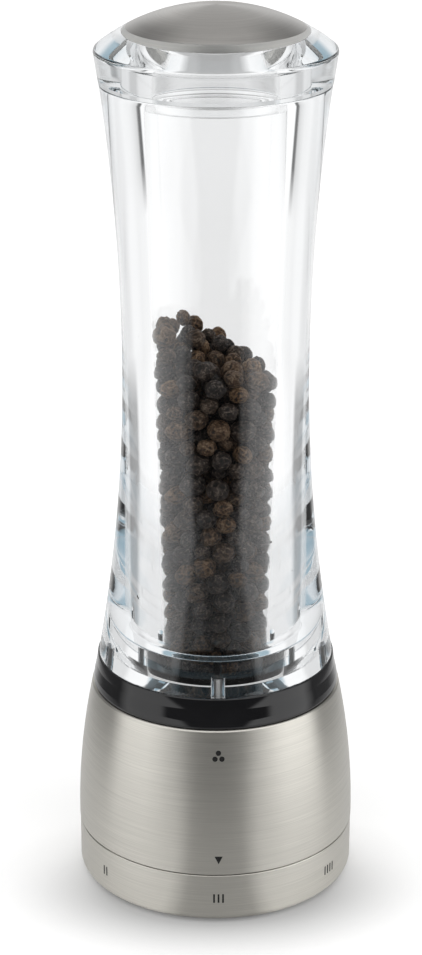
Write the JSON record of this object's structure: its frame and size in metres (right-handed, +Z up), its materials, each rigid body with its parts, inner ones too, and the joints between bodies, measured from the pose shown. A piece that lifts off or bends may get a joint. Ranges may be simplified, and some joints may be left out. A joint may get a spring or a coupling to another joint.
{
  "type": "pepper mill",
  "caption": "Tall waisted clear pepper mill with a steel-capped lift-off lid, black collar, brushed steel base with a grind-setting ring, and a conical burr grinder inside.",
  "frame": {"origin": "on the mill's axis, at the surface that it stands on", "axes": "+Z up along the mill's axis, -Y is the front, where the pointer on the base is"},
  "size_m": [0.0662, 0.0662, 0.21],
  "materials": {
    "clear_acrylic": "gloss",
    "brushed_steel": "satin",
    "gloss_black": "gloss",
    "black_plastic": "matte",
    "burr_steel": "satin",
    "plated_steel": "polished",
    "foot_rubber": "matte",
    "seal_rubber": "satin",
    "white_plastic": "satin",
    "peppercorn": "matte"
  },
  "bodies": {
    "base": {"base_shell": "brushed_steel", "base_housing": "black_plastic", "burr_ring": "burr_steel", "burr_screws": "plated_steel", "bottom_plate": "black_plastic", "bottom_screws": "plated_steel", "foot_ring": "foot_rubber", "click_spring": "plated_steel", "glide_washer": "white_plastic"},
    "setting_ring": {"setting_ring": "brushed_steel", "setting_ring_liner": "black_plastic"},
    "bridge": {"bridge": "white_plastic", "thrust_ball": "plated_steel"},
    "body": {"collar": "gloss_black", "hopper": "black_plastic", "drive_spider": "white_plastic", "drive_pins": "white_plastic", "retaining_ring": "black_plastic", "retaining_screws": "plated_steel", "body_tube": "clear_acrylic", "body_seal": "seal_rubber", "peppercorns": "peppercorn", "hopper_peppercorns": "peppercorn", "burr_spring": "plated_steel"},
    "rotor": {"rotor_burr": "burr_steel", "spindle": "plated_steel", "spring_washer": "plated_steel", "circlip": "plated_steel"},
    "lid": {"lid": "clear_acrylic", "lid_seal": "seal_rubber", "cap": "brushed_steel"}
  },
  "joints": [
    {"name": "body_spin", "type": "hinge", "parent": "base", "child": "body", "pos_m": [0, 0, 0], "axis": [0, 0, 1], "continuous": true},
    {"name": "grind_select", "type": "hinge", "parent": "base", "child": "setting_ring", "pos_m": [0, 0, 0], "axis": [0, 0, 1], "range_deg": [-162, 108], "deforming": ["click_spring"]},
    {"name": "bridge_lift", "type": "slide", "parent": "base", "child": "bridge", "axis": [0, 0, 1], "range_m": [-0.00068, 0.00046]},
    {"name": "rotor_float", "type": "slide", "parent": "body", "child": "rotor", "axis": [0, 0, 1], "range_m": [-0.00068, 0.00046], "deforming": ["burr_spring"]},
    {"name": "lid_lift", "type": "slide", "parent": "body", "child": "lid", "axis": [0, 0, 1], "range_m": [0, 0.03]}
  ],
  "couplings": [
    {"joint": "bridge_lift", "follows": "grind_select", "m_per_rad": 0.00023873},
    {"joint": "rotor_float", "follows": "grind_select", "m_per_rad": 0.00023873}
  ]
}
